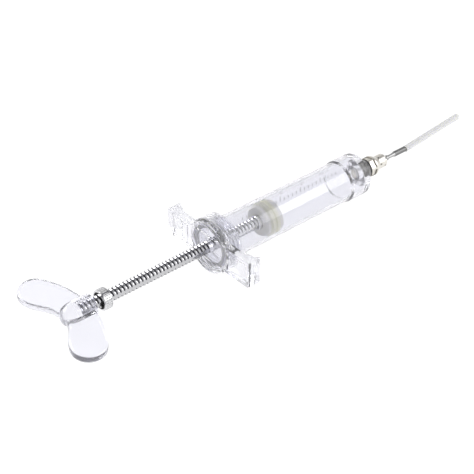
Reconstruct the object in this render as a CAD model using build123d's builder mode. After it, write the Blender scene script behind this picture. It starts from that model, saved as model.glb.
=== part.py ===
from build123d import *
import os
from math import cos, radians, sin, sqrt

# A hand syringe for injecting marinade: a clear barrel with a screw-on winged cap, a threaded
# plunger rod with a dose nut, a clear palm handle, and a metal nozzle with a needle hub.
# Millimetres. +X runs along the barrel to the needle, +Z is up, the wings lie along Y.
# The origin is under the middle of the whole object, at the height of the cap's lowest point.

# ---------------------------------------------------------------- driving dimensions
cap_r = 20.0                 # outside of the screw cap, the lowest point of the object
axis_z = cap_r               # height of the syringe's axis

barrel_r = 15.0              # outside of the barrel tube
bore_r = 12.7                # inside of the barrel tube
collar_r = 15.9              # thicker front end of the barrel
boss_tip_r = 7.2             # front boss where the nozzle seats
boss_root_r = 10.5
floor_x = 72.8               # inner floor of the barrel
collar_x = 57.3              # rear edge of the thicker front end
barrel_front_x = 78.3
boss_front_x = 85.8
outlet_r = 3.8               # outlet hole in the floor
outlet_depth = 1.5

cap_rear_x = -64.1
cap_length = 14.0
cap_wall = 4.5
gasket_t = 1.5
wing_rear_x = -65.5
wing_half_span = 42.0
wing_half_height = 9.6
wing_tip_front_x = -54.4     # needle side of the thick wing tip
wing_waist_front_x = -58.9   # needle side of the thin middle of the wing

rod_r = 4.2                  # crest of the plunger rod's thread
rod_flat = 3.7               # half width across the rod's two flats
thread_pitch = 2.93
thread_depth = 0.48          # the flats are cut just below the thread's root
rod_rear_x = -170.7
rod_shoulder_x = -22.6
stud_r = 2.5                 # thin front end of the rod, which carries the piston

nut_r = 7.3
nut_rear_x = -154.3
nut_length = 6.2

piston_rear_x = -19.8
piston_front_x = -5.7

hub_r = 8.0                  # round boss of the palm handle
hub_front_x = -160.7
hub_rear_x = -183.6
hub_swell_x = -170.0         # behind here the boss fades into the plate
plate_t = 6.2                # thickness of the handle's plate
handle_roll = 7.2            # the handle stands turned a little from the wings, degrees

nozzle_x = boss_front_x
facing_angle = 136.0         # one wrench flat of the nozzle faces this way, from +Y towards +Z
hex_front_x = 92.0
cone_front_x = 97.6
lock_front_x = 104.8
ferrule_x = 117.4
ferrule_front_x = 128.9
sleeve_length = 62.6
sleeve_r = 2.45
sleeve_seat_r = 1.75        # rear of the sleeve's bore, round the olive
sleeve_bore_r = 1.6          # the rest of the bore
sleeve_seat_length = 6.0
sleeve_tilt = 4.3            # the push-on sleeve leans from the axis, degrees
sleeve_lean = 45.8           # direction of the lean, degrees from +Y towards +Z

slide_gap = 0.2              # clearance round the rod in the cap and the nut
seat_gap = 0.05              # clearance in seats that stay put

axis_line = Axis((0, 0, axis_z), (1, 0, 0))
profile_plane = Plane(origin=(0, 0, axis_z), x_dir=(1, 0, 0), z_dir=(0, -1, 0))
top_plane = Plane(origin=(0, 0, axis_z), x_dir=(1, 0, 0), z_dir=(0, 0, 1))


def cross_plane(x):
    """A plane square to the axis at x: its own x runs along +Y and its own y along +Z."""
    return Plane(origin=(x, 0, axis_z), x_dir=(0, 1, 0), z_dir=(1, 0, 0))


def ridges(start, stop, pitch, root, crest):
    """The outline of a ridged shaft from start to stop, as points of x and radius."""
    count = int((stop - start) / pitch)
    points = [(start, root)]
    for index in range(count):
        x = start + index * pitch
        points.append((x + 0.18 * pitch, root))
        points.append((x + 0.43 * pitch, crest))
        points.append((x + 0.57 * pitch, crest))
        points.append((x + 0.82 * pitch, root))
    points.append((stop, root))
    return points


os.makedirs("parts", exist_ok=True)

# ---------------------------------------------------------------- barrel
cap_inner_x = cap_rear_x + cap_wall
barrel_rear_x = cap_inner_x + gasket_t
neck_front_x = cap_rear_x + cap_length + 0.4
collar_ramp = 2.0            # length of the slope up to the thicker front end
floor_round = 1.2
boss_root_round = 1.5
match_tolerance = 0.01       # for finding an edge by its radius or place
neck_root_r = 16.2
neck_crest_r = 17.3
neck_pitch = 2.6
stem_r = 6.0                 # crest of the nozzle's threaded stem
front_round = 3.5

with BuildPart() as barrel:
    with BuildSketch(profile_plane):
        with BuildLine():
            neck = ridges(barrel_rear_x, neck_front_x, neck_pitch, neck_root_r, neck_crest_r)
            Polyline(
                (barrel_rear_x, bore_r),
                *neck,
                (neck_front_x, barrel_r),
                (collar_x, barrel_r),
                (collar_x + collar_ramp, collar_r),
                (barrel_front_x - front_round, collar_r),
            )
            RadiusArc(
                (barrel_front_x - front_round, collar_r),
                (barrel_front_x, collar_r - front_round),
                front_round,
            )
            Polyline(
                (barrel_front_x, collar_r - front_round),
                (barrel_front_x, boss_root_r),
                (boss_front_x, boss_tip_r),
                (boss_front_x, stem_r + seat_gap),
                (floor_x + outlet_depth, stem_r + seat_gap),
                (floor_x + outlet_depth, outlet_r),
                (floor_x, outlet_r),
                (floor_x, bore_r),
                (barrel_rear_x, bore_r),
            )
        make_face()
    revolve(axis=axis_line)
    inner_corner = [
        edge for edge in barrel.edges().filter_by(GeomType.CIRCLE)
        if abs(edge.radius - bore_r) < match_tolerance
        and abs(edge.arc_center.X - floor_x) < match_tolerance
    ]
    fillet(inner_corner, floor_round)
    boss_root = [
        edge for edge in barrel.edges().filter_by(GeomType.CIRCLE)
        if abs(edge.radius - boss_root_r) < match_tolerance
    ]
    fillet(boss_root, boss_root_round)
barrel.part.label = "barrel"
export_step(barrel.part, "parts/barrel.step")

# ---------------------------------------------------------------- rear cap with its finger wings
gasket_r = 15.9
cap_thread_crest_r = 16.6
cap_thread_root_r = 17.7
cap_front_x = cap_rear_x + cap_length
cap_edge = 1.2
panel_rim = 2.4              # rim round the recessed rear panel of a wing
panel_depth = 1.6
rear_ring_wall = 2.2         # raised ring on the cap's rear face
wing_tip_land = 1.2          # flat edge of the wing's tip before its hollow begins
wing_hollow_x = 2.6          # the hollow passes this far behind the tip's edge
wing_hollow_y = 6.0
wing_waist_y = 14.5          # the thin middle of the wing ends this far from its tip
wing_tip_round = 0.9
panel_gap = 0.6              # from the cap's rim to the panel

with BuildPart() as cap_gasket:
    with BuildSketch(cross_plane(cap_inner_x)):
        Circle(gasket_r)
        Circle(bore_r + slide_gap, mode=Mode.SUBTRACT)
    extrude(amount=gasket_t)
cap_gasket.part.label = "cap_gasket"
export_step(cap_gasket.part, "parts/cap_gasket.step")

with BuildPart() as rear_cap:
    with BuildSketch(cross_plane(cap_rear_x)):
        Circle(cap_r)
    extrude(amount=cap_length)
    chamfer(rear_cap.edges().filter_by(GeomType.CIRCLE), cap_edge)
    # the wings: a flat rear face and a hollowed needle side that ends in a thick tip
    with BuildSketch(top_plane):
        with BuildLine():
            Polyline(
                (wing_waist_front_x, 0),
                (wing_rear_x, 0),
                (wing_rear_x, wing_half_span),
                (wing_tip_front_x, wing_half_span),
                (wing_tip_front_x, wing_half_span - wing_tip_land),
            )
            Spline(
                (wing_tip_front_x, wing_half_span - wing_tip_land),
                (wing_tip_front_x - wing_hollow_x, wing_half_span - wing_hollow_y),
                (wing_waist_front_x, wing_half_span - wing_waist_y),
                tangents=[(-0.6, -1.0), (0.0, -1.0)],
            )
            Line((wing_waist_front_x, wing_half_span - wing_waist_y), (wing_waist_front_x, 0))
        make_face()
        mirror(about=Plane.XZ)
    extrude(amount=wing_half_height, both=True)
    tips = rear_cap.edges().filter_by(Axis.Z).group_by(Axis.Y)
    fillet(tips[0] + tips[-1], wing_tip_round)
    # recessed rear panels
    panel_inner_y = cap_r + panel_gap
    panel_outer_y = wing_half_span - panel_rim
    with BuildSketch(cross_plane(wing_rear_x)):
        for side in (-1, 1):
            with Locations((side * (panel_inner_y + panel_outer_y) / 2, 0)):
                Rectangle(panel_outer_y - panel_inner_y, 2 * (wing_half_height - panel_rim))
    extrude(amount=panel_depth, mode=Mode.SUBTRACT)
    # raised ring and guide collar on the rear face
    with BuildSketch(cross_plane(cap_rear_x)):
        Circle(cap_r - cap_edge)
        Circle(cap_r - cap_edge - rear_ring_wall, mode=Mode.SUBTRACT)
        Circle(hub_r)
    extrude(amount=wing_rear_x - cap_rear_x)
    # threaded inside
    with BuildSketch(profile_plane):
        with BuildLine():
            inner = ridges(
                cap_inner_x, cap_front_x, neck_pitch, cap_thread_root_r, cap_thread_crest_r
            )
            Polyline((cap_inner_x, 0), *inner, (cap_front_x, 0), (cap_inner_x, 0))
        make_face()
    revolve(axis=axis_line, mode=Mode.SUBTRACT)
    # keyed hole: the rod slides through it but cannot turn
    with BuildSketch(cross_plane(wing_rear_x)):
        Circle(rod_r + slide_gap)
        Rectangle(2 * (rod_flat + slide_gap), 3 * rod_r, mode=Mode.INTERSECT)
    extrude(amount=cap_length, mode=Mode.SUBTRACT)
rear_cap.part.label = "rear_cap"
export_step(rear_cap.part, "parts/rear_cap.step")

# ---------------------------------------------------------------- plunger rod and handle
stud_end_drop = 0.6          # the rod's front end lies this far inside the piston
stud_front_x = piston_front_x - stud_end_drop
rod_root_r = rod_r - thread_depth
rod_end_step = 0.4
rod_end_r = rod_root_r - rod_end_step   # the rod's two ends are turned down a little
end_land = 0.8
shoulder_land = 0.5

with BuildPart() as plunger_rod:
    with BuildSketch(profile_plane):
        with BuildLine():
            crests = ridges(
                rod_rear_x + end_land, rod_shoulder_x - shoulder_land,
                thread_pitch, rod_root_r, rod_r,
            )
            Polyline(
                (rod_rear_x, 0),
                (rod_rear_x, rod_end_r),
                *crests,
                (rod_shoulder_x, rod_end_r),
                (rod_shoulder_x, stud_r),
                (stud_front_x, stud_r),
                (stud_front_x, 0),
                (rod_rear_x, 0),
            )
        make_face()
    revolve(axis=axis_line)
    with BuildSketch(cross_plane(rod_rear_x)):
        Rectangle(2 * rod_flat, 3 * rod_r)
    extrude(amount=stud_front_x - rod_rear_x, mode=Mode.INTERSECT)
plunger_rod.part.label = "plunger_rod"
export_step(plunger_rod.part, "parts/plunger_rod.step")

lobe_r = 12.1
lobe_x = -183.0
lobe_y = 28.6
handle_rear_x = -182.6       # middle of the hollow that faces the palm
handle_front_x = -161.7
plate_round = 2.4
lean = radians(handle_roll)
handle_plane = Plane(
    origin=(0, 0, axis_z), x_dir=(1, 0, 0), z_dir=(0, -sin(lean), cos(lean))
)


def lobe_point(angle):
    """A point on the rim of the +Y lobe, at an angle from +X towards +Y."""
    return (lobe_x + lobe_r * cos(radians(angle)), lobe_y + lobe_r * sin(radians(angle)))


rear_meet = 192              # where the lobe's arc begins and ends, degrees
front_meet = 34
lobe_top = 100
rod_end_gap = 0.3            # behind the rod's end in the boss
with BuildPart() as palm_handle:
    with BuildSketch(handle_plane):
        with BuildLine():
            Spline(
                (handle_rear_x, 0),
                lobe_point(rear_meet),
                tangents=[(0, 1), (sin(radians(rear_meet)), -cos(radians(rear_meet)))],
            )
            ThreePointArc(lobe_point(rear_meet), lobe_point(lobe_top), lobe_point(front_meet))
            Spline(
                lobe_point(front_meet),
                (handle_front_x, 0),
                tangents=[(sin(radians(front_meet)), -cos(radians(front_meet))), (0, -1)],
            )
            Line((handle_front_x, 0), (handle_rear_x, 0))
        make_face()
        mirror(about=Plane.XZ)
    extrude(amount=plate_t / 2, both=True)
    fillet(palm_handle.edges().group_by(SortBy.LENGTH)[-1], plate_round)
    # boss that screws onto the rod's rear end, and fades out into the plate behind it
    with BuildSketch(profile_plane):
        with BuildLine():
            Polyline(
                (hub_rear_x, 0), (hub_front_x, 0), (hub_front_x, hub_r), (hub_swell_x, hub_r)
            )
            Spline(
                (hub_swell_x, hub_r), (hub_rear_x, 0), tangents=[(-1, 0), (0, -1)]
            )
        make_face()
    revolve(axis=axis_line)
    with BuildSketch(cross_plane(rod_rear_x - rod_end_gap)):
        Circle(rod_r + seat_gap)
    extrude(amount=hub_front_x - rod_rear_x + rod_end_gap, mode=Mode.SUBTRACT)
palm_handle.part.label = "palm_handle"
export_step(palm_handle.part, "parts/palm_handle.step")

# ---------------------------------------------------------------- dose nut on the rod
knurl_count = 30
knurl_r = 0.42
knurl_out = 0.12             # the flutes' centres lie this far outside the nut
knurl_land = 0.9             # plain rim at each end of the flutes
nut_edge = 0.5
ring_squeeze = 0.1
nut_pocket_r = 5.9
nut_pocket_depth = 2.4
ring_wire_r = 0.75           # friction ring in the nut's pocket

with BuildPart() as dose_nut:
    with BuildSketch(cross_plane(nut_rear_x)):
        Circle(nut_r)
    extrude(amount=nut_length)
    chamfer(dose_nut.edges().filter_by(GeomType.CIRCLE), nut_edge)
    with BuildSketch(cross_plane(nut_rear_x + knurl_land)):
        with PolarLocations(nut_r + knurl_out, knurl_count):
            Circle(knurl_r)
    extrude(amount=nut_length - 2 * knurl_land, mode=Mode.SUBTRACT)
    with BuildSketch(cross_plane(nut_rear_x)):
        Circle(nut_pocket_r)
    extrude(amount=nut_pocket_depth, mode=Mode.SUBTRACT)
    with BuildSketch(cross_plane(nut_rear_x)):
        Circle(rod_r + slide_gap)
    extrude(amount=nut_length, mode=Mode.SUBTRACT)
dose_nut.part.label = "dose_nut"
export_step(dose_nut.part, "parts/dose_nut.step")

ring_x = nut_rear_x + nut_pocket_depth - ring_wire_r - seat_gap
with BuildPart() as nut_friction_ring:
    with BuildSketch(profile_plane):
        with Locations((ring_x, rod_r + slide_gap + ring_wire_r - ring_squeeze)):
            Circle(ring_wire_r)
    revolve(axis=axis_line)
nut_friction_ring.part.label = "nut_friction_ring"
export_step(nut_friction_ring.part, "parts/nut_friction_ring.step")

# ---------------------------------------------------------------- piston on the rod's front end
locknut_r = 5.3
locknut_edge = 0.5
plate_edge = 0.8
rear_plate_t = 2.6
front_plate_t = 3.5
plate_r = 11.2
stud_hole_r = stud_r + seat_gap
seal_rear_x = piston_rear_x + rear_plate_t
seal_front_x = piston_front_x - front_plate_t
seal_lip_r = 12.6
seal_waist_r = 11.4
tip_nut_r = 4.2
tip_nut_t = 2.4

with BuildPart() as rod_locknut:
    with BuildSketch(cross_plane(rod_shoulder_x)):
        Circle(locknut_r)
        Circle(stud_hole_r, mode=Mode.SUBTRACT)
    extrude(amount=piston_rear_x - rod_shoulder_x)
    chamfer(rod_locknut.faces().sort_by(Axis.X)[0].outer_wire().edges(), locknut_edge)
rod_locknut.part.label = "rod_locknut"
export_step(rod_locknut.part, "parts/rod_locknut.step")

with BuildPart() as piston_rear_plate:
    with BuildSketch(cross_plane(piston_rear_x)):
        Circle(plate_r)
        Circle(stud_hole_r, mode=Mode.SUBTRACT)
    extrude(amount=rear_plate_t)
    fillet(piston_rear_plate.faces().sort_by(Axis.X)[0].outer_wire().edges(), plate_edge)
piston_rear_plate.part.label = "piston_rear_plate"
export_step(piston_rear_plate.part, "parts/piston_rear_plate.step")

seal_length = seal_front_x - seal_rear_x
with BuildPart() as piston_seal:
    with BuildSketch(profile_plane):
        with BuildLine():
            Polyline(
                (seal_rear_x, stud_hole_r),
                (seal_rear_x, seal_waist_r),
                (seal_rear_x + 0.12 * seal_length, seal_lip_r),
                (seal_rear_x + 0.38 * seal_length, seal_lip_r),
                (seal_rear_x + 0.45 * seal_length, seal_waist_r),
                (seal_rear_x + 0.55 * seal_length, seal_waist_r),
                (seal_rear_x + 0.62 * seal_length, seal_lip_r),
                (seal_rear_x + 0.88 * seal_length, seal_lip_r),
                (seal_front_x, seal_waist_r),
                (seal_front_x, stud_hole_r),
                (seal_rear_x, stud_hole_r),
            )
        make_face()
    revolve(axis=axis_line)
piston_seal.part.label = "piston_seal"
export_step(piston_seal.part, "parts/piston_seal.step")

tip_nut_sink = 0.2           # the nut sits this far below the front plate's face
tip_pocket_r = tip_nut_r + 0.4
tip_pocket_x = piston_front_x - tip_nut_t - tip_nut_sink
with BuildPart() as piston_front_plate:
    with BuildSketch(cross_plane(seal_front_x)):
        Circle(plate_r)
        Circle(stud_hole_r, mode=Mode.SUBTRACT)
    extrude(amount=front_plate_t)
    fillet(piston_front_plate.faces().sort_by(Axis.X)[-1].outer_wire().edges(), plate_edge)
    with BuildSketch(cross_plane(tip_pocket_x)):
        Circle(tip_pocket_r)
    extrude(amount=front_plate_t, mode=Mode.SUBTRACT)
piston_front_plate.part.label = "piston_front_plate"
export_step(piston_front_plate.part, "parts/piston_front_plate.step")

with BuildPart() as piston_tip_nut:
    with BuildSketch(cross_plane(tip_pocket_x)):
        RegularPolygon(tip_nut_r, 6)
        Circle(stud_hole_r, mode=Mode.SUBTRACT)
    extrude(amount=tip_nut_t)
piston_tip_nut.part.label = "piston_tip_nut"
export_step(piston_tip_nut.part, "parts/piston_tip_nut.step")

# ---------------------------------------------------------------- nozzle, lock ring and gasket
nozzle_gasket_t = 0.9
flange_r = 7.4
flange_x = nozzle_x + nozzle_gasket_t
flat_count = 6
flat_distance = 6.35         # from the axis to each wrench flat
flat_width = 6.4
flat_land = 0.7              # round rim behind the wrench flats
shoulder_length = 1.2        # round rim in front of them
stem_rear_x = floor_x + outlet_depth + 0.4
stem_pitch = 1.75
stem_depth = 0.7
stem_mouth_r = 3.4           # the passage narrows from here to its small bore
stem_mouth_length = 6.0
cone_front_r = 5.3
bore_small_r = 1.3
cone_r = 2.05                # male cone that the needle hub seats on
cone_tip_x = 103.0
cone_taper = 0.15            # the cone's radius falls by this much to its tip
track_r = 3.5                # short barrel that the lock ring turns on
track_front_x = cone_front_x + 1.6

gasket_inset = 0.3
with BuildPart() as nozzle_gasket:
    with BuildSketch(cross_plane(nozzle_x)):
        Circle(boss_tip_r - gasket_inset)
        Circle(stem_r + slide_gap, mode=Mode.SUBTRACT)
    extrude(amount=nozzle_gasket_t)
nozzle_gasket.part.label = "nozzle_gasket"
export_step(nozzle_gasket.part, "parts/nozzle_gasket.step")

with BuildPart() as nozzle:
    with BuildSketch(profile_plane):
        with BuildLine():
            stem = ridges(
                stem_rear_x + flat_land, flange_x, stem_pitch, stem_r - stem_depth, stem_r
            )
            Polyline(
                (stem_rear_x, stem_mouth_r),
                (stem_rear_x, stem_r - 1.3 * stem_depth),
                *stem,
                (flange_x, flange_r),
                (hex_front_x + shoulder_length, flange_r),
                (cone_front_x, cone_front_r),
                (cone_front_x, track_r),
                (track_front_x, track_r),
                (track_front_x, cone_r),
                (cone_tip_x, cone_r - cone_taper),
                (cone_tip_x, bore_small_r),
                (stem_rear_x + stem_mouth_length, bore_small_r),
                (stem_rear_x, stem_mouth_r),
            )
        make_face()
    revolve(axis=axis_line)
    with BuildSketch(cross_plane(flange_x + flat_land)):
        with PolarLocations(flat_distance + flange_r / 2, flat_count, start_angle=facing_angle):
            Rectangle(flange_r, flat_width)
    extrude(amount=hex_front_x - flange_x - flat_land, mode=Mode.SUBTRACT)
nozzle.part.label = "nozzle"
export_step(nozzle.part, "parts/nozzle.step")

lock_r = 5.2
lock_bore_r = 4.35
slot_count = 6
slot_width = 1.3
slot_depth = 2.6
lock_gap = 0.08              # between the ring's lip and the track it turns on
lip_length = 0.9
lock_edge = 0.3
grip_hole_r = 0.5
grip_hole_depth = 1.6
lock_x = cone_front_x + 0.15

with BuildPart() as lock_ring:
    with BuildSketch(cross_plane(lock_x)):
        Circle(lock_r)
        Circle(lock_bore_r, mode=Mode.SUBTRACT)
    extrude(amount=lock_front_x - lock_x)
    chamfer(lock_ring.faces().sort_by(Axis.X)[-1].outer_wire().edges(), lock_edge)
    with BuildSketch(cross_plane(lock_front_x - slot_depth)):
        with PolarLocations(lock_r, slot_count, start_angle=facing_angle):
            Rectangle(lock_r, slot_width)
    extrude(amount=slot_depth, mode=Mode.SUBTRACT)
    # inward lip that turns on the nozzle's track
    with BuildSketch(cross_plane(lock_x)):
        Circle(lock_bore_r)
        Circle(track_r + lock_gap, mode=Mode.SUBTRACT)
    extrude(amount=lip_length)
    # grip holes round the rear of the ring
    with BuildSketch(cross_plane(lock_x)):
        with PolarLocations(lock_r, slot_count, start_angle=facing_angle + 180 / slot_count):
            Circle(grip_hole_r)
    extrude(amount=grip_hole_depth, mode=Mode.SUBTRACT)
lock_ring.part.label = "lock_ring"
export_step(lock_ring.part, "parts/lock_ring.step")

clip_t = 0.4
clip_wall = 0.65
clip_opening = 1.6
clip_x = lock_x + lip_length + clip_t / 4
with BuildPart() as lock_ring_clip:
    with BuildSketch(cross_plane(clip_x)):
        Circle(track_r + clip_wall)
        Circle(track_r, mode=Mode.SUBTRACT)
        with Locations((0, -track_r)):
            Rectangle(clip_opening, track_r, mode=Mode.SUBTRACT)
    extrude(amount=clip_t)
lock_ring_clip.part.label = "lock_ring_clip"
export_step(lock_ring_clip.part, "parts/lock_ring_clip.step")

# ---------------------------------------------------------------- needle and its push-on sleeve
needle_hub_x = track_front_x + 0.5
cannula_r = 1.0
cannula_rear_x = cone_tip_x + 0.4
olive_x = ferrule_front_x + 3.0
olive_r = sleeve_seat_r
olive_half = sqrt(olive_r ** 2 - cannula_r ** 2)
cannula_bore_r = 0.6
hub_flange_r = 4.0           # the lock ring closes over this flange
hub_flange_t = 1.3
hub_body_r = 3.3
hub_step_r = 2.5
hub_step_x = lock_front_x + 2.2
bead_x = 109.2               # small bead on the hub
bead_r = 2.0
bead_rear_r = 1.5
bead_half = 1.8
neck_r = 1.4
neck_end_x = 114.0
neck_front_r = 1.85
ferrule_r = 2.05
seat_slack = 0.06

with BuildPart() as needle_hub:
    with BuildSketch(profile_plane):
        with BuildLine():
            Polyline(
                (needle_hub_x, cone_r + seat_slack),
                (needle_hub_x, hub_flange_r),
                (needle_hub_x + hub_flange_t, hub_flange_r),
                (needle_hub_x + hub_flange_t, hub_body_r),
                (lock_front_x + 0.6, hub_body_r),
                (hub_step_x, hub_step_r),
                (bead_x - bead_half, bead_rear_r),
            )
            ThreePointArc(
                (bead_x - bead_half, bead_rear_r),
                (bead_x, bead_r),
                (bead_x + bead_half, neck_r),
            )
            Polyline(
                (bead_x + bead_half, neck_r),
                (neck_end_x, neck_r),
                (ferrule_x, neck_front_r),
                (ferrule_x, cannula_r),
                (cannula_rear_x, cannula_r),
                (cannula_rear_x, cone_r - cone_taper + seat_slack),
                (needle_hub_x, cone_r + seat_slack),
            )
        make_face()
    revolve(axis=axis_line)
needle_hub.part.label = "needle_hub"
export_step(needle_hub.part, "parts/needle_hub.step")

with BuildPart() as needle_ferrule:
    with BuildSketch(cross_plane(ferrule_x)):
        Circle(ferrule_r)
        Circle(cannula_r, mode=Mode.SUBTRACT)
    extrude(amount=ferrule_front_x - ferrule_x)
    chamfer(needle_ferrule.faces().sort_by(Axis.X)[-1].outer_wire().edges(), lock_edge)
needle_ferrule.part.label = "needle_ferrule"
export_step(needle_ferrule.part, "parts/needle_ferrule.step")

with BuildPart() as cannula:
    with BuildSketch(profile_plane):
        with BuildLine():
            Polyline(
                (cannula_rear_x, cannula_bore_r),
                (cannula_rear_x, cannula_r),
                (olive_x - olive_half, cannula_r),
            )
            ThreePointArc(
                (olive_x - olive_half, cannula_r),
                (olive_x, olive_r),
                (olive_x + olive_half, cannula_r),
            )
            Polyline(
                (olive_x + olive_half, cannula_r),
                (olive_x + olive_half, cannula_bore_r),
                (cannula_rear_x, cannula_bore_r),
            )
        make_face()
    revolve(axis=axis_line)
cannula.part.label = "cannula"
export_step(cannula.part, "parts/cannula.step")

sleeve_gap = 0.25            # between the ferrule and the sleeve
olive_gap = 0.02
sleeve_edge = 0.4
tilt = radians(sleeve_tilt)
lean_angle = radians(sleeve_lean)
sleeve_dir = Vector(cos(tilt), sin(tilt) * cos(lean_angle), sin(tilt) * sin(lean_angle))
olive_centre = Vector(olive_x, 0, axis_z)
sleeve_start = olive_centre - sleeve_dir * (olive_x - ferrule_front_x - sleeve_gap)
with BuildPart() as sleeve:
    with BuildSketch(Plane(origin=sleeve_start, z_dir=sleeve_dir)):
        Circle(sleeve_r)
        Circle(sleeve_bore_r, mode=Mode.SUBTRACT)
    extrude(amount=sleeve_length)
    with BuildSketch(Plane(origin=sleeve_start, z_dir=sleeve_dir)):
        Circle(sleeve_seat_r + olive_gap)
    extrude(amount=sleeve_seat_length, mode=Mode.SUBTRACT)
    fillet(sleeve.faces().sort_by(Axis.X)[-1].outer_wire().edges(), sleeve_edge)
sleeve.part.label = "sleeve"
export_step(sleeve.part, "parts/sleeve.step")
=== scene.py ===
import math

import bmesh
import bpy
from mathutils import Matrix, Vector


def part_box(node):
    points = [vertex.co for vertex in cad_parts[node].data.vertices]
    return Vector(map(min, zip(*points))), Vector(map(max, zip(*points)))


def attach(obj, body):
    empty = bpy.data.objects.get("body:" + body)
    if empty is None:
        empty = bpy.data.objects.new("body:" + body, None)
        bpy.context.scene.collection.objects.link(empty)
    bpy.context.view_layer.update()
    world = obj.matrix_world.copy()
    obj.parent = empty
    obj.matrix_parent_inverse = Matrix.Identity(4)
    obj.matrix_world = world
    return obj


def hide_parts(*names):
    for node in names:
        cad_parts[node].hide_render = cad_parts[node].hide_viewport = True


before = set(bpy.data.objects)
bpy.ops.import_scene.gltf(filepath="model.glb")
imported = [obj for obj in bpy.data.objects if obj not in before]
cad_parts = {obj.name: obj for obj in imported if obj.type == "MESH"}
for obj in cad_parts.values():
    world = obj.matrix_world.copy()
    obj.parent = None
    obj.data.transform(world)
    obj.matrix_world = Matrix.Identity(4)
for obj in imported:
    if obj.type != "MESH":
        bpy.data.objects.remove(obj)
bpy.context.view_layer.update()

bl_info = {
    "name": "Marinade Injector",
    "version": (1, 0, 0),
    "blender": (4, 5, 0),
    "location": "3D View > Sidebar > Injector",
    "description": "Finishes, thread and scale of a clear hand syringe for marinade",
    "category": "Object",
}

MM = 0.001
AXIS_Z = sum(corner.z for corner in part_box("plunger_rod")) / 2

# the thread's outline over one pitch: where a subdivided edge has its points, where they
# belong, both in pitches, and how high they stand, as a share of the thread's depth
THREAD_OUTLINE = (
    (-1 / 3, -0.15, 0.82),
    (-1 / 6, -0.09, 1.0),
    (1 / 6, 0.09, 1.0),
    (1 / 3, 0.15, 0.82),
)
THREAD_CUTS = 5                # points between the ends of that edge
STUD_RADIUS = 2.5 * MM         # thin front end of the rod
BARREL_FLOOR_X = 72.8 * MM     # where the chamber ends and the scale begins
BARREL_RADIUS = 15.0 * MM
SCALE_REAR_X = -40 * MM        # the scale never runs further back than this
MARK_WIDTH = 0.35 * MM
LONG_MARK = 4.6 * MM
SHORT_MARK = 2.6 * MM
MARKS_TO_A_LONG_ONE = 5
MARK_SINK = 0.05 * MM          # the marks start this far below the barrel's surface
VOLUME_PER_MARK = 2            # millilitres
LARGEST_NUMERAL = 40
NUMERAL_STEP = 10
NUMERAL_OFFSET = 5.6 * MM      # from the marks' start, round the barrel
FONT_TO_DIGIT = 1.4            # font size over the height of a digit
CLOSE = 0.001 * MM             # points nearer than this are one
LIGHT_AIM = (-0.05, 0, 0.02)


# ------------------------------------------------------------------ shader nodes
class Wire:
    """A node's output socket. Arithmetic on it adds the Math nodes that the sum needs."""

    def __init__(self, nodes, socket):
        self.nodes = nodes
        self.socket = socket

    def math(self, operation, *values):
        sockets = dict(enumerate((self, *values)))
        return self.nodes.add("ShaderNodeMath", {"operation": operation}, sockets)

    def __add__(self, other):
        return self.math("ADD", other)

    __radd__ = __add__

    def __sub__(self, other):
        return self.math("SUBTRACT", other)

    def __rsub__(self, other):
        return self.nodes.add("ShaderNodeMath", {"operation": "SUBTRACT"}, {0: other, 1: self})

    def __mul__(self, other):
        return self.math("MULTIPLY", other)

    __rmul__ = __mul__

    def __pow__(self, other):
        return self.math("POWER", other)

    def clamped(self):
        wire = self.math("ADD", 0.0)
        wire.socket.node.use_clamp = True
        return wire


class Nodes:
    """The node tree of one material or of the world."""

    def __init__(self, owner):
        owner.use_nodes = True
        self.tree = owner.node_tree
        self.tree.nodes.clear()

    def add(self, kind, settings=None, sockets=None, out=0):
        node = self.tree.nodes.new(kind)
        for key, value in (settings or {}).items():
            if key == "stops":
                self.set_stops(node.color_ramp, value)
            else:
                setattr(node, key, value)
        for key, value in (sockets or {}).items():
            if isinstance(value, Wire):
                self.tree.links.new(value.socket, node.inputs[key])
            else:
                node.inputs[key].default_value = value
        return Wire(self, node.outputs[out]) if node.outputs else None

    @staticmethod
    def set_stops(ramp, stops):
        while len(ramp.elements) > 2:
            ramp.elements.remove(ramp.elements[-1])
        for index, (place, colour) in enumerate(stops):
            if index < 2:
                element = ramp.elements[index]
                element.position = place
            else:
                element = ramp.elements.new(place)
            element.color = (*colour, 1.0)

    def blend(self, share, first, second):
        """Colour between first and second, by share."""
        return self.add(
            "ShaderNodeMix",
            {"data_type": "RGBA", "clamp_factor": True},
            {0: share, 6: rgba(first), 7: rgba(second)},
            out=2,
        )

    def place(self, stretch=(1, 1, 1)):
        """Object coordinates in millimetres, stretched along each axis."""
        coordinates = self.add("ShaderNodeTexCoord", out=3)
        scale = tuple(share / MM for share in stretch)
        return self.add("ShaderNodeMapping", {}, {"Vector": coordinates, "Scale": scale})

    def noise(self, size, detail=3.0, rough=0.5, stretch=(1, 1, 1)):
        """Noise from 0 to 1 whose patches are about size millimetres across."""
        return self.add(
            "ShaderNodeTexNoise",
            {},
            {
                "Vector": self.place(stretch),
                "Scale": 1.0 / size,
                "Detail": detail,
                "Roughness": rough,
            },
        )

    def bump(self, height, depth, strength=1.0, under=None):
        """A surface normal from a height from 0 to 1, depth in millimetres."""
        sockets = {"Height": height, "Distance": depth * MM, "Strength": strength}
        if under is not None:
            sockets["Normal"] = under
        return self.add("ShaderNodeBump", {}, sockets)

    def surface(self, **sockets):
        """The Principled shader, by socket name with _ for a space."""
        named = {key.replace("_", " "): value for key, value in sockets.items()}
        for key, value in named.items():
            if isinstance(value, tuple) and len(value) == 3 and "Color" in key:
                named[key] = rgba(value)
        shader = self.add("ShaderNodeBsdfPrincipled", {}, named)
        self.add("ShaderNodeOutputMaterial", {}, {"Surface": shader})


def rgba(colour):
    return (*colour, 1.0) if isinstance(colour, (tuple, list)) and len(colour) == 3 else colour


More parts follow.
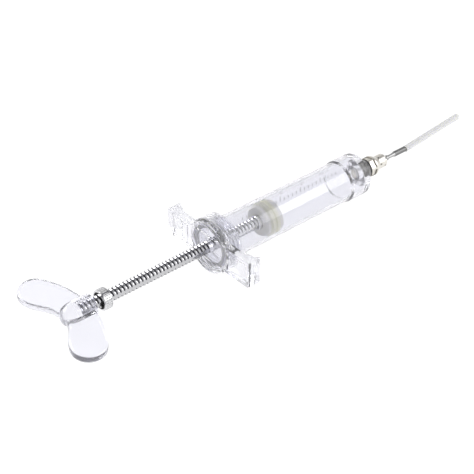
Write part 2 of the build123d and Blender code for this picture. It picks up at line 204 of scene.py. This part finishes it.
# ------------------------------------------------------------------ finishes
def clear_plastic(name, tint):
    """Injection-moulded clear plastic: faint flow marks, a slight tint and a soft waviness."""
    material = bpy.data.materials.new(name)
    nodes = Nodes(material)
    flow = nodes.noise(9.0, detail=2.0, stretch=(0.35, 1, 1))
    haze = nodes.noise(1.6, detail=4.0)
    colour = nodes.blend(flow, tint, tuple(min(1.0, c * 1.02) for c in tint))
    scuffs = nodes.noise(0.35, detail=5.0, rough=0.7, stretch=(0.2, 1, 1))
    rough = (scuffs - 0.55).clamped() * 0.35 + 0.06 + haze * 0.02
    normal = nodes.bump(flow, 0.05, 0.35, under=nodes.bump(haze, 0.004, 0.4))
    nodes.surface(
        Base_Color=colour,
        Roughness=rough,
        Normal=normal,
        IOR=1.42,
        Transmission_Weight=0.93,
    )
    return material


def turned_metal(name, light, dark, rough=(0.12, 0.26), groove=0.55):
    """Plated or stainless metal: turning marks round the axis, and painted shade in its grooves,
    where an occlusion node darkens the colour.
    """
    material = bpy.data.materials.new(name)
    nodes = Nodes(material)
    marks = nodes.noise(1.2, detail=4.0, rough=0.6, stretch=(18.0, 1, 1))
    patches = nodes.noise(3.5, detail=3.0)
    # painted shade: an occlusion node turns the colour towards the dark colour in grooves and
    # recesses
    open_sky = nodes.add(
        "ShaderNodeAmbientOcclusion", {"samples": 8}, {"Distance": 1.1 * MM}, out=1
    )
    painted_shade = ((1.0 - open_sky) * (1.0 / groove)).clamped()
    bare = nodes.blend(patches * 0.6, light, tuple(c * 0.86 for c in light))
    colour = nodes.blend(painted_shade, bare, dark)
    low, high = rough
    normal = nodes.bump(marks, 0.006, 0.5)
    nodes.surface(
        Base_Color=colour,
        Metallic=1.0 - painted_shade * 0.25,
        Roughness=marks * (high - low) + low + painted_shade * 0.12,
        Normal=normal,
    )
    return material


def threaded_steel(name, light, dark, crest, depth, flat):
    """Steel with bright crests and painted shade, a dark colour, down in the thread."""
    material = bpy.data.materials.new(name)
    nodes = Nodes(material)
    spot = nodes.place()
    across = nodes.add("ShaderNodeSeparateXYZ", {}, {"Vector": spot}, out=1)
    upward = nodes.add("ShaderNodeSeparateXYZ", {}, {"Vector": spot}, out=2) - AXIS_Z / MM
    radius = (across * across + upward * upward) ** 0.5
    # painted shade: the colour goes to the dark colour down in the thread's groove, but not on the
    # flats
    sunk = ((crest / MM - radius) * (2.4 * MM / depth) - 0.3).clamped()
    on_flat = ((across.math("ABSOLUTE") - (flat / MM - 0.05)) * 50.0).clamped()
    painted_shade = (sunk * (1.0 - on_flat)).clamped()
    marks = nodes.noise(1.2, detail=4.0, rough=0.6, stretch=(1, 9.0, 9.0))
    # patches where the painted shade in the groove is stronger or weaker
    shade_patchiness = nodes.noise(2.2, detail=3.0)
    bare = nodes.blend(marks * 0.4 + on_flat * 0.6, light, tuple(c * 0.66 for c in light))
    nodes.surface(
        Base_Color=nodes.blend(painted_shade * (0.8 + shade_patchiness * 0.4), bare, dark),
        Metallic=1.0 - painted_shade * 0.3,
        Roughness=marks * 0.1 + 0.13 + painted_shade * 0.2,
        Normal=nodes.bump(marks, 0.006, 0.4),
    )
    return material


def milky_plastic(name, body, edge, see_through=0.35, roughness=0.38, scatter=0.4):
    """Cloudy soft plastic that lets some light through."""
    material = bpy.data.materials.new(name)
    nodes = Nodes(material)
    cloud = nodes.noise(4.0, detail=3.0)
    grain = nodes.noise(0.5, detail=3.0)
    nodes.surface(
        Base_Color=nodes.blend(cloud, body, edge),
        Roughness=grain * 0.12 + roughness,
        Normal=nodes.bump(grain, 0.01, 0.4),
        IOR=1.45,
        Transmission_Weight=see_through,
        Subsurface_Weight=scatter,
        Subsurface_Radius=(0.004, 0.004, 0.003),
        Subsurface_Scale=1.0,
    )
    return material


def rubber(name, base, worn):
    """Matt rubber with a dusty bloom."""
    material = bpy.data.materials.new(name)
    nodes = Nodes(material)
    bloom = nodes.noise(1.2, detail=5.0, rough=0.65)
    grit = nodes.noise(0.18, detail=2.0)
    nodes.surface(
        Base_Color=nodes.blend(bloom ** 2.0, base, worn),
        Roughness=bloom * 0.2 + 0.5,
        Normal=nodes.bump(grit, 0.012, 0.5),
    )
    return material


# ------------------------------------------------------------------ modelling helpers
def deselect():
    if bpy.context.mode != "OBJECT":
        bpy.ops.object.mode_set(mode="OBJECT")
    bpy.ops.object.select_all(action="DESELECT")


def start(primitive, name, **settings):
    """Adds a primitive with nothing else selected, and enters edit mode."""
    deselect()
    primitive(**settings)
    piece = bpy.context.object
    piece.name = piece.data.name = name
    bpy.ops.object.mode_set(mode="EDIT")
    return piece


def pick(piece, test, kind="verts"):
    """Selects the vertices, edges or faces whose middle, in the piece's own frame, passes test."""
    mode = {"verts": "VERT", "edges": "EDGE", "faces": "FACE"}[kind]
    bpy.ops.mesh.select_mode(type=mode)
    bpy.ops.mesh.select_all(action="DESELECT")
    mesh = bmesh.from_edit_mesh(piece.data)
    for item in getattr(mesh, kind):
        if kind == "verts":
            middle = item.co
        elif kind == "edges":
            middle = (item.verts[0].co + item.verts[1].co) / 2
        else:
            middle = item.calc_center_median()
        item.select_set(bool(test(middle)))
    mesh.select_flush_mode()
    bmesh.update_edit_mesh(piece.data)


def finish_piece(piece, material, body, angle=None):
    """Leaves edit mode, puts the place into the mesh, shades it and lets it ride."""
    deselect()
    piece.select_set(True)
    bpy.context.view_layer.objects.active = piece
    bpy.ops.object.transform_apply(location=True, rotation=True, scale=True)
    if angle is not None:
        bpy.ops.object.shade_smooth_by_angle(angle=math.radians(angle))
    piece.data.materials.clear()
    piece.data.materials.append(material)
    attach(piece, body)
    return piece


def dress(material, *names):
    """Gives CAD nodes a finish."""
    for name in names:
        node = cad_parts[name]
        node.data.materials.clear()
        node.data.materials.append(material)


# ------------------------------------------------------------------ settings
class InjectorRodSettings(bpy.types.PropertyGroup):
    """Sizes of the plunger rod's thread."""

    pitch: bpy.props.FloatProperty(
        name="Pitch", description="Length of one turn of the thread", default=2.93 * MM,
        unit="LENGTH", precision=5,
    )
    crest: bpy.props.FloatProperty(
        name="Crest radius", description="Outside of the thread", default=4.2 * MM,
        unit="LENGTH", precision=5,
    )
    depth: bpy.props.FloatProperty(
        name="Depth", description="Depth of the thread's groove", default=0.48 * MM,
        unit="LENGTH", precision=5,
    )
    flat: bpy.props.FloatProperty(
        name="Half width at the flats", description="Axis to each of the two flats",
        default=3.66 * MM, unit="LENGTH", precision=5,
    )
    steps: bpy.props.IntProperty(
        name="Steps a turn", description="Faces round one turn of the thread", default=40,
    )


class InjectorScaleSettings(bpy.types.PropertyGroup):
    """Sizes of the volume scale on the barrel."""

    spacing: bpy.props.FloatProperty(
        name="Spacing", description="Travel of the plunger for one mark", default=3.95 * MM,
        unit="LENGTH", precision=5,
    )
    marks: bpy.props.IntProperty(
        name="Marks", description="How many marks the scale has", default=24,
    )
    angle: bpy.props.FloatProperty(
        name="Angle", description="Where the scale runs, from +Y towards +Z",
        default=math.radians(-18.0), unit="ROTATION",
    )
    relief: bpy.props.FloatProperty(
        name="Relief", description="How far the marks stand from the barrel",
        default=0.15 * MM, unit="LENGTH", precision=5,
    )
    numeral: bpy.props.FloatProperty(
        name="Numeral height", description="Height of the numerals", default=3.4 * MM,
        unit="LENGTH", precision=5,
    )


class InjectorFinishSettings(bpy.types.PropertyGroup):
    """Colours of the finishes."""

    clear: bpy.props.FloatVectorProperty(
        name="Clear plastic", description="Tint of the barrel and the cap", subtype="COLOR",
        default=(0.925, 0.925, 0.965), min=0, max=1,
    )
    handle: bpy.props.FloatVectorProperty(
        name="Handle plastic", description="Tint of the palm handle", subtype="COLOR",
        default=(0.905, 0.905, 0.965), min=0, max=1,
    )
    steel: bpy.props.FloatVectorProperty(
        name="Rod steel", description="Colour of the plunger rod", subtype="COLOR",
        default=(0.78, 0.78, 0.80), min=0, max=1,
    )
    nickel: bpy.props.FloatVectorProperty(
        name="Nickel", description="Colour of the nozzle and its ring", subtype="COLOR",
        default=(0.80, 0.775, 0.72), min=0, max=1,
    )
    piston: bpy.props.FloatVectorProperty(
        name="Piston", description="Colour of the piston's discs", subtype="COLOR",
        default=(0.97, 0.955, 0.86), min=0, max=1,
    )
    sleeve: bpy.props.FloatVectorProperty(
        name="Needle sleeve", description="Colour of the push-on sleeve", subtype="COLOR",
        default=(0.71, 0.71, 0.70), min=0, max=1,
    )


class InjectorStageSettings(bpy.types.PropertyGroup):
    """Light and view."""

    azimuth: bpy.props.FloatProperty(
        name="Azimuth", description="Direction of the view round the object",
        default=math.radians(-41.06), unit="ROTATION",
    )
    elevation: bpy.props.FloatProperty(
        name="Elevation", description="Height of the view above the horizon",
        default=math.radians(35.5), unit="ROTATION",
    )
    roll: bpy.props.FloatProperty(
        name="Roll", description="Turn of the view about its own line",
        default=math.radians(0.365), unit="ROTATION",
    )
    distance: bpy.props.FloatProperty(
        name="Distance", description="From the camera to the point that it looks at",
        default=0.8778, unit="LENGTH",
    )
    lens: bpy.props.FloatProperty(
        name="Lens", description="Focal length on a 36 mm sensor", default=97.44,
    )
    sky: bpy.props.FloatProperty(
        name="Sky", description="Strength of the surrounding light", default=1.0,
    )
    key: bpy.props.FloatProperty(
        name="Key light", description="Power of each soft light, in watts", default=9.0,
    )


# ------------------------------------------------------------------ plunger rod
class INJECTOR_OT_rod(bpy.types.Operator):
    """Cut the plunger rod's real helical thread, with its two flats"""

    bl_idname = "injector.rod"
    bl_label = "Plunger rod"

    def execute(self, context):
        sizes = context.scene.injector_rod
        low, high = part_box("plunger_rod")
        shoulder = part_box("rod_locknut")[0].x
        root = sizes.crest - sizes.depth
        turns = math.ceil((shoulder - low.x) / sizes.pitch) + 2
        rod = start(
            bpy.ops.mesh.primitive_plane_add, "plunger_rod_threaded",
            size=sizes.pitch, location=(low.x - sizes.pitch, 0, AXIS_Z),
        )
        # one edge of the plane becomes the outline of one thread
        pick(rod, lambda co: co.y > 0)
        bpy.ops.mesh.delete(type="VERT")
        pick(rod, lambda co: True, "edges")
        bpy.ops.mesh.subdivide(number_cuts=THREAD_CUTS)
        pick(rod, lambda co: True)
        bpy.ops.transform.translate(value=(0, sizes.pitch / 2, root))
        for place, wanted, height in THREAD_OUTLINE:
            pick(rod, lambda co, p=place: abs(co.x / sizes.pitch - p) < 0.03)
            bpy.ops.transform.translate(
                value=((wanted - place) * sizes.pitch, 0, height * sizes.depth)
            )
        pick(rod, lambda co: abs(co.x) < 0.01 * sizes.pitch)
        bpy.ops.transform.translate(value=(0, 0, sizes.depth))
        bpy.ops.object.mode_set(mode="OBJECT")
        twist = rod.modifiers.new("thread", "SCREW")
        twist.axis = "X"
        twist.screw_offset = sizes.pitch
        twist.iterations = turns
        twist.steps = twist.render_steps = sizes.steps
        bpy.ops.object.modifier_apply(modifier=twist.name)
        bpy.ops.object.mode_set(mode="EDIT")
        bpy.ops.mesh.select_all(action="SELECT")
        bpy.ops.mesh.remove_doubles(threshold=0.002 * MM)
        bpy.ops.mesh.normals_make_consistent(inside=False)
        cuts = [((low.x, 0, 0), (-1, 0, 0)), ((shoulder, 0, 0), (1, 0, 0)),
                ((0, -sizes.flat, 0), (0, -1, 0)), ((0, sizes.flat, 0), (0, 1, 0))]
        for place, outward in cuts:
            bpy.ops.mesh.select_all(action="SELECT")
            spot = Vector(place) + (Vector((0, 0, AXIS_Z)) if place[0] == 0 else Vector())
            bpy.ops.mesh.bisect(
                plane_co=spot, plane_no=outward, use_fill=True, clear_outer=True,
                threshold=CLOSE,
            )
        # thin front end that carries the piston
        origin = rod.location.x
        pick(rod, lambda co: co.x > shoulder - origin - 0.01 * MM, "faces")
        slim = STUD_RADIUS / sizes.crest
        bpy.ops.mesh.extrude_region_move()
        bpy.ops.transform.resize(
            value=(1, slim * sizes.crest / sizes.flat, slim),
            center_override=(shoulder, 0, AXIS_Z),
        )
        bpy.ops.mesh.extrude_region_move(
            TRANSFORM_OT_translate={"value": (high.x - shoulder, 0, 0)}
        )
        bpy.ops.mesh.select_all(action="SELECT")
        bpy.ops.mesh.normals_make_consistent(inside=False)
        colours = context.scene.injector_finish
        # the dark colour is the painted shade down in the thread
        steel = threaded_steel(
            "rod_steel", tuple(colours.steel), (0.035, 0.035, 0.045),
            sizes.crest, sizes.depth, sizes.flat,
        )
        finish_piece(rod, steel, "plunger", angle=32)
        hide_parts("plunger_rod")
        return {"FINISHED"}


# ------------------------------------------------------------------ volume scale
def wrap(piece, radius, angle, x):
    """Bends a flat piece, whose own x runs round the barrel, onto the barrel at x."""
    for vertex in piece.data.vertices:
        around, along, out = vertex.co
        turn = angle + around / radius
        reach = radius + out
        vertex.co = (x + along, reach * math.cos(turn), AXIS_Z + reach * math.sin(turn))


class INJECTOR_OT_scale(bpy.types.Operator):
    """Raise the marks and the numerals of the volume scale on the barrel"""

    bl_idname = "injector.scale"
    bl_label = "Volume scale"

    def execute(self, context):
        sizes = context.scene.injector_scale
        ink = rubber("scale_ink", (0.14, 0.14, 0.16), (0.24, 0.24, 0.26))
        marks = []
        for index in range(1, sizes.marks + 1):
            x = BARREL_FLOOR_X - index * sizes.spacing
            if x < SCALE_REAR_X:
                break
            reach = LONG_MARK if index % MARKS_TO_A_LONG_ONE == 0 else SHORT_MARK
            mark = start(
                bpy.ops.mesh.primitive_plane_add, "scale_mark",
                size=1.0, location=(x, 0, AXIS_Z),
            )
            bpy.ops.mesh.select_all(action="SELECT")
            bpy.ops.transform.resize(value=(MARK_WIDTH, sizes.relief + MARK_SINK, 1))
            bpy.ops.transform.translate(value=(0, BARREL_RADIUS + sizes.relief / 2, 0))
            bpy.ops.mesh.spin(
                steps=6, angle=-reach / BARREL_RADIUS, center=(x, 0, AXIS_Z), axis=(1, 0, 0),
            )
            bpy.ops.mesh.select_all(action="SELECT")
            bpy.ops.transform.rotate(
                value=-sizes.angle, orient_axis="X", center_override=(x, 0, AXIS_Z)
            )
            bpy.ops.mesh.remove_doubles(threshold=CLOSE)
            bpy.ops.mesh.normals_make_consistent(inside=False)
            bpy.ops.object.mode_set(mode="OBJECT")
            marks.append(mark)
        deselect()
        for mark in marks:
            mark.select_set(True)
        bpy.context.view_layer.objects.active = marks[0]
        bpy.ops.object.join()
        marks[0].name = marks[0].data.name = "scale_marks"
        finish_piece(marks[0], ink, "barrel", angle=30)

        numerals = []
        for volume in range(NUMERAL_STEP, LARGEST_NUMERAL + 1, NUMERAL_STEP):
            x = BARREL_FLOOR_X - volume / VOLUME_PER_MARK * sizes.spacing
            deselect()
            bpy.ops.object.text_add(location=(0, 0, 0))
            numeral = bpy.context.object
            numeral.data.body = str(volume)
            numeral.data.size = sizes.numeral * FONT_TO_DIGIT
            numeral.data.align_x = "LEFT"
            numeral.data.align_y = "CENTER"
            numeral.data.extrude = sizes.relief / 2
            bpy.ops.object.convert(target="MESH")
            bpy.ops.object.mode_set(mode="EDIT")
            bpy.ops.mesh.select_all(action="SELECT")
            bpy.ops.mesh.remove_doubles(threshold=CLOSE)
            bpy.ops.mesh.normals_make_consistent(inside=False)
            bpy.ops.object.mode_set(mode="OBJECT")
            start_angle = sizes.angle + NUMERAL_OFFSET / BARREL_RADIUS
            wrap(numeral, BARREL_RADIUS + sizes.relief / 2, start_angle, x)
            numerals.append(numeral)
        deselect()
        for numeral in numerals:
            numeral.select_set(True)
        bpy.context.view_layer.objects.active = numerals[0]
        bpy.ops.object.join()
        numerals[0].name = numerals[0].data.name = "scale_numerals"
        finish_piece(numerals[0], ink, "barrel")
        return {"FINISHED"}


# ------------------------------------------------------------------ finishes on the CAD nodes
class INJECTOR_OT_clear_parts(bpy.types.Operator):
    """Give the barrel, the winged cap and the palm handle their clear plastic"""

    bl_idname = "injector.clear_parts"
    bl_label = "Clear parts"

    def execute(self, context):
        colours = context.scene.injector_finish
        clear = clear_plastic("clear_plastic", tuple(colours.clear))
        dress(clear, "barrel", "rear_cap")
        dress(clear_plastic("handle_plastic", tuple(colours.handle)), "palm_handle")
        return {"FINISHED"}


class INJECTOR_OT_metal_parts(bpy.types.Operator):
    """Give the nut, the nozzle and the needle their metals"""

    bl_idname = "injector.metal_parts"
    bl_label = "Metal parts"

    def execute(self, context):
        colours = context.scene.injector_finish
        steel = tuple(colours.steel)
        # each metal's second colour is the painted shade in its grooves and recesses
        bright = turned_metal("nut_steel", tuple(c * 0.95 for c in steel), (0.06, 0.06, 0.06))
        dress(bright, "dose_nut", "rod_locknut", "piston_tip_nut", "lock_ring_clip")
        nickel = turned_metal(
            "nickel", tuple(colours.nickel), (0.08, 0.07, 0.05), rough=(0.3, 0.45), groove=0.5
        )
        dress(nickel, "nozzle", "lock_ring")
        needle = turned_metal(
            "needle_steel", (0.44, 0.44, 0.44), (0.10, 0.10, 0.10), rough=(0.3, 0.45)
        )
        dress(needle, "needle_hub", "cannula")
        crimped = turned_metal(
            "crimped_steel", (0.24, 0.24, 0.24), (0.08, 0.08, 0.08), rough=(0.4, 0.55)
        )
        dress(crimped, "needle_ferrule")
        return {"FINISHED"}


class INJECTOR_OT_soft_parts(bpy.types.Operator):
    """Give the piston, the gaskets and the sleeve their soft plastics"""

    bl_idname = "injector.soft_parts"
    bl_label = "Soft parts"

    def execute(self, context):
        colours = context.scene.injector_finish
        disc = tuple(colours.piston)
        plates = milky_plastic(
            "piston_plastic", disc, tuple(c * 0.96 for c in disc), see_through=0.05, scatter=0.5
        )
        dress(plates, "piston_rear_plate", "piston_front_plate")
        seal = milky_plastic(
            "seal_silicone", (0.96, 0.95, 0.78), (0.93, 0.92, 0.70), see_through=0.05
        )
        dress(seal, "piston_seal")
        gasket = milky_plastic("gasket_rubber", (0.88, 0.88, 0.88), (0.82, 0.82, 0.84))
        dress(gasket, "cap_gasket")
        dress(rubber("dark_rubber", (0.02, 0.02, 0.02), (0.07, 0.07, 0.07)),
              "nozzle_gasket", "nut_friction_ring")
        sleeve = milky_plastic(
            "sleeve_plastic", tuple(colours.sleeve), (0.68, 0.68, 0.67), see_through=0.0,
            roughness=0.5, scatter=0.5,
        )
        dress(sleeve, "sleeve")
        return {"FINISHED"}


# ------------------------------------------------------------------ stage
def softbox(name, place, aim, width, height, watts):
    deselect()
    bpy.ops.object.light_add(type="AREA", location=place)
    lamp = bpy.context.object
    lamp.name = name
    lamp.data.shape = "RECTANGLE"
    lamp.data.size, lamp.data.size_y = width, height
    lamp.data.energy = watts
    lamp.rotation_euler = (Vector(aim) - Vector(place)).to_track_quat("-Z", "Y").to_euler()


class INJECTOR_OT_stage(bpy.types.Operator):
    """Lay the pale floor, hang the soft lights and set up the camera"""

    bl_idname = "injector.stage"
    bl_label = "Stage"

    def execute(self, context):
        view = context.scene.injector_stage
        floor = start(
            bpy.ops.mesh.primitive_plane_add, "floor", size=8.0, location=(0, 0, -0.0005)
        )
        bpy.ops.object.mode_set(mode="OBJECT")
        paper = bpy.data.materials.new("floor_paper")
        nodes = Nodes(paper)
        tooth = nodes.noise(40.0, detail=2.0)
        nodes.surface(
            Base_Color=nodes.blend(tooth, (0.20, 0.20, 0.20), (0.22, 0.22, 0.22)),
            Roughness=0.9,
            Specular_IOR_Level=0.1,
            Emission_Color=(1.0, 1.0, 1.0),
            Emission_Strength=0.88,
        )
        floor.data.materials.append(paper)

        # a bright horizon under a dimmer ceiling, with one dark strip overhead
        sky = bpy.data.worlds.new("studio")
        context.scene.world = sky
        nodes = Nodes(sky)
        direction = nodes.add("ShaderNodeTexCoord")
        aside = nodes.add("ShaderNodeSeparateXYZ", {}, {"Vector": direction}, out=1)
        height = nodes.add("ShaderNodeSeparateXYZ", {}, {"Vector": direction}, out=2)
        tone = nodes.add(
            "ShaderNodeValToRGB",
            {"stops": [(0.0, (0.96,) * 3), (0.12, (0.88,) * 3), (0.4, (0.76,) * 3),
                       (0.7, (0.66,) * 3), (1.0, (0.62,) * 3)]},
            {"Fac": height},
        )
        strip = (1.0 - aside.math("ABSOLUTE") * 3.8).clamped() * (height * 2.5).clamped()
        shaded = nodes.blend((strip * 2.0).clamped(), tone, (0.16, 0.16, 0.18))
        glow = nodes.add("ShaderNodeBackground", {}, {"Color": shaded, "Strength": view.sky})
        nodes.add("ShaderNodeOutputWorld", {}, {"Surface": glow})

        softbox("front_light", (0.75, -0.86, 0.82), LIGHT_AIM, 1.1, 0.9, view.key)
        softbox("back_light", (-0.6, 0.9, 0.9), (0, 0, 0), 0.9, 0.5, view.key)

        azimuth, elevation = view.azimuth, view.elevation
        toward = Vector((
            math.sin(azimuth) * math.cos(elevation),
            -math.cos(azimuth) * math.cos(elevation),
            math.sin(elevation),
        ))
        right = Vector((math.cos(azimuth), math.sin(azimuth), 0))
        up = toward.cross(right)
        turned_right = right * math.cos(view.roll) + up * math.sin(view.roll)
        turned_up = up * math.cos(view.roll) - right * math.sin(view.roll)
        aim = Vector((-0.0397, 0, AXIS_Z))
        deselect()
        bpy.ops.object.camera_add()
        camera = context.object
        camera.name = "camera"
        camera.matrix_world = Matrix.Translation(aim + toward * view.distance) @ Matrix(
            (turned_right, turned_up, toward)
        ).transposed().to_4x4()
        camera.data.sensor_width = 36.0
        camera.data.lens = view.lens
        camera.data.shift_x, camera.data.shift_y = 0.0032, -0.0084
        camera.data.clip_start, camera.data.clip_end = 0.01, 20.0
        camera.data.dof.use_dof = False
        context.scene.camera = camera
        context.scene.view_settings.view_transform = "Standard"
        return {"FINISHED"}


# ------------------------------------------------------------------ sidebar and registration
OPERATORS = (
    INJECTOR_OT_stage,
    INJECTOR_OT_clear_parts,
    INJECTOR_OT_metal_parts,
    INJECTOR_OT_soft_parts,
    INJECTOR_OT_rod,
    INJECTOR_OT_scale,
)
SETTINGS = {
    "injector_rod": InjectorRodSettings,
    "injector_scale": InjectorScaleSettings,
    "injector_finish": InjectorFinishSettings,
    "injector_stage": InjectorStageSettings,
}


class INJECTOR_PT_panel(bpy.types.Panel):
    """The injector's sizes, colours and steps"""

    bl_label = "Marinade Injector"
    bl_idname = "INJECTOR_PT_panel"
    bl_space_type = "VIEW_3D"
    bl_region_type = "UI"
    bl_category = "Injector"

    def draw(self, context):
        for name, group in SETTINGS.items():
            box = self.layout.box()
            for key in group.__annotations__:
                box.prop(getattr(context.scene, name), key)
        for operator in OPERATORS:
            self.layout.operator(operator.bl_idname)


def register():
    for group in SETTINGS.values():
        bpy.utils.register_class(group)
    for operator in OPERATORS:
        bpy.utils.register_class(operator)
    bpy.utils.register_class(INJECTOR_PT_panel)
    for name, group in SETTINGS.items():
        setattr(bpy.types.Scene, name, bpy.props.PointerProperty(type=group))


def unregister():
    for name in SETTINGS:
        delattr(bpy.types.Scene, name)
    for item in (INJECTOR_PT_panel, *reversed(OPERATORS), *SETTINGS.values()):
        bpy.utils.unregister_class(item)


def main():
    register()
    for operator in OPERATORS:
        group, step = operator.bl_idname.split(".")
        getattr(getattr(bpy.ops, group), step)()


if __name__ == "__main__":
    main()
